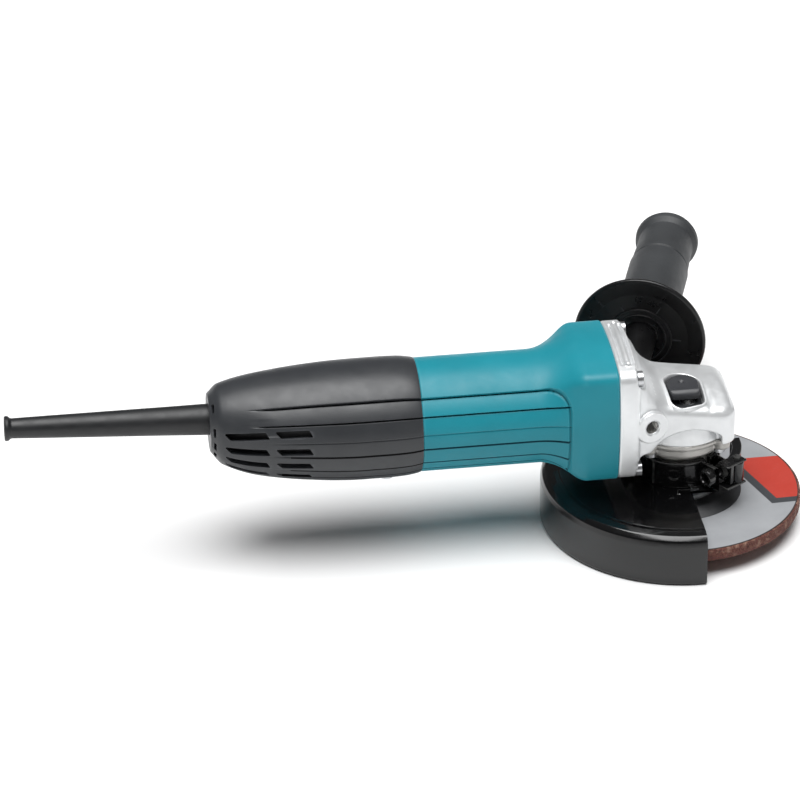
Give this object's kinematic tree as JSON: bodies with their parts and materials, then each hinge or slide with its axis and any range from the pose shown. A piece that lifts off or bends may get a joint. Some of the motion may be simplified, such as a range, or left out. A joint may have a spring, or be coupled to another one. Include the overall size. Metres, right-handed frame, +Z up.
{
  "type": "angle grinder",
  "caption": "Corded angle grinder with bevel-gear head, half-round wheel guard on a clamp band, depressed-centre wheel, shaft lock, slide switch and side handle.",
  "frame": {"origin": "on the spindle axis, at the inner flange's clamping face, where the grinding wheel seats", "axes": "+X from the rear cover towards the front of the gear head, along the motor axis; +Z up along the spindle, away from the wheel; +Y towards the fitted side handle"},
  "size_m": [0.4002, 0.2409, 0.1035],
  "materials": {
    "blue_housing": "fine-grained satin",
    "charcoal_plastic": "fine-grained satin",
    "cast_aluminium": "bead-blasted die casting",
    "steel": "machined",
    "bearing_steel": "ground and polished",
    "gear_steel": "hardened, greased",
    "black_plastic": "satin",
    "pale_plastic": "moulded",
    "laminations": "stacked sheet steel",
    "copper_wire": "enamelled wire",
    "copper_bars": "turned copper",
    "brass": "drawn sheet",
    "carbon": "sintered",
    "black_rubber": "moulded matt",
    "handle_plastic": "grained",
    "button_plastic": "smooth",
    "abrasive": "bonded grain",
    "label_paper": "printed paper",
    "guard_paint": "gloss coat",
    "black_steel": "blackened"
  },
  "bodies": {
    "casing": {"motor_housing": "blue_housing", "rear_cover": "charcoal_plastic", "gear_housing": "cast_aluminium", "bearing_box": "cast_aluminium", "gear_housing_screws": "steel", "bearing_box_screws": "steel", "rear_cover_screws": "steel", "baffle_plate": "black_plastic", "stator_core": "laminations", "stator_windings": "copper_wire", "brush_holders": "brass", "carbon_brushes": "carbon", "brush_springs": "steel", "switch_body": "black_plastic", "terminal_block": "pale_plastic", "cord_guard": "black_rubber", "cord_clamp": "black_plastic", "cord_clamp_screws": "steel", "pinion_bearing_outer": "bearing_steel", "rear_bearing_outer": "bearing_steel", "rear_bearing_boot": "black_rubber", "spindle_bearing_outer": "bearing_steel", "spindle_bush": "brass", "bearing_retainer": "steel", "labyrinth_ring": "steel", "lock_seal": "black_rubber", "handle_grip": "handle_plastic", "handle_stud": "steel"},
    "spindle_unit": {"spindle": "steel", "bevel_gear": "gear_steel", "gear_clip": "steel", "spindle_bearing_inner": "bearing_steel", "inner_flange": "steel", "grinding_wheel": "abrasive", "wheel_label": "label_paper", "wheel_bore_ring": "steel", "lock_nut": "steel"},
    "armature": {"armature_shaft": "steel", "armature_core": "laminations", "armature_windings": "copper_wire", "commutator": "copper_bars", "insulation_washer": "pale_plastic", "cooling_fan": "black_plastic", "pinion": "gear_steel", "pinion_nut": "steel", "pinion_bearing_inner": "bearing_steel", "rear_bearing_inner": "bearing_steel"},
    "shaft_lock": {"lock_button": "button_plastic", "lock_pin": "steel", "lock_spring": "steel"},
    "power_switch": {"switch_button": "button_plastic", "switch_rod": "black_plastic"},
    "guard": {"wheel_guard": "guard_paint", "guard_band": "guard_paint", "clamp_screw": "black_steel", "clamp_nut": "black_steel", "lever_pin": "black_steel"},
    "clamp_lever": {"guard_lever": "guard_paint"}
  },
  "joints": [
    {"name": "spindle_spin", "type": "hinge", "parent": "casing", "child": "spindle_unit", "pos_m": [0, 0, 0], "axis": [0, 0, 1], "continuous": true},
    {"name": "armature_spin", "type": "hinge", "parent": "casing", "child": "armature", "pos_m": [0, 0, 0.05], "axis": [1, 0, 0], "continuous": true},
    {"name": "shaft_lock_press", "type": "slide", "parent": "casing", "child": "shaft_lock", "axis": [0, 0, -1], "range_m": [0, 0.0026], "stiffness_N_per_m": 600, "springref_m": -0.002, "deforming": ["lock_spring"]},
    {"name": "switch_slide", "type": "slide", "parent": "casing", "child": "power_switch", "axis": [1, 0, 0], "range_m": [0, 0.007], "stiffness_N_per_m": 250, "springref_m": -0.003},
    {"name": "guard_swivel", "type": "hinge", "parent": "casing", "child": "guard", "pos_m": [0, 0, 0.015], "axis": [0, 0, 1], "range_deg": [-53, 107]},
    {"name": "guard_lever_open", "type": "hinge", "parent": "guard", "child": "clamp_lever", "pos_m": [0.02639, -0.01935, 0.015], "axis": [0, 0, -1], "range_deg": [0, 80]}
  ],
  "couplings": [
    {"joint": "armature_spin", "follows": "spindle_spin", "ratio": -3.3636}
  ]
}
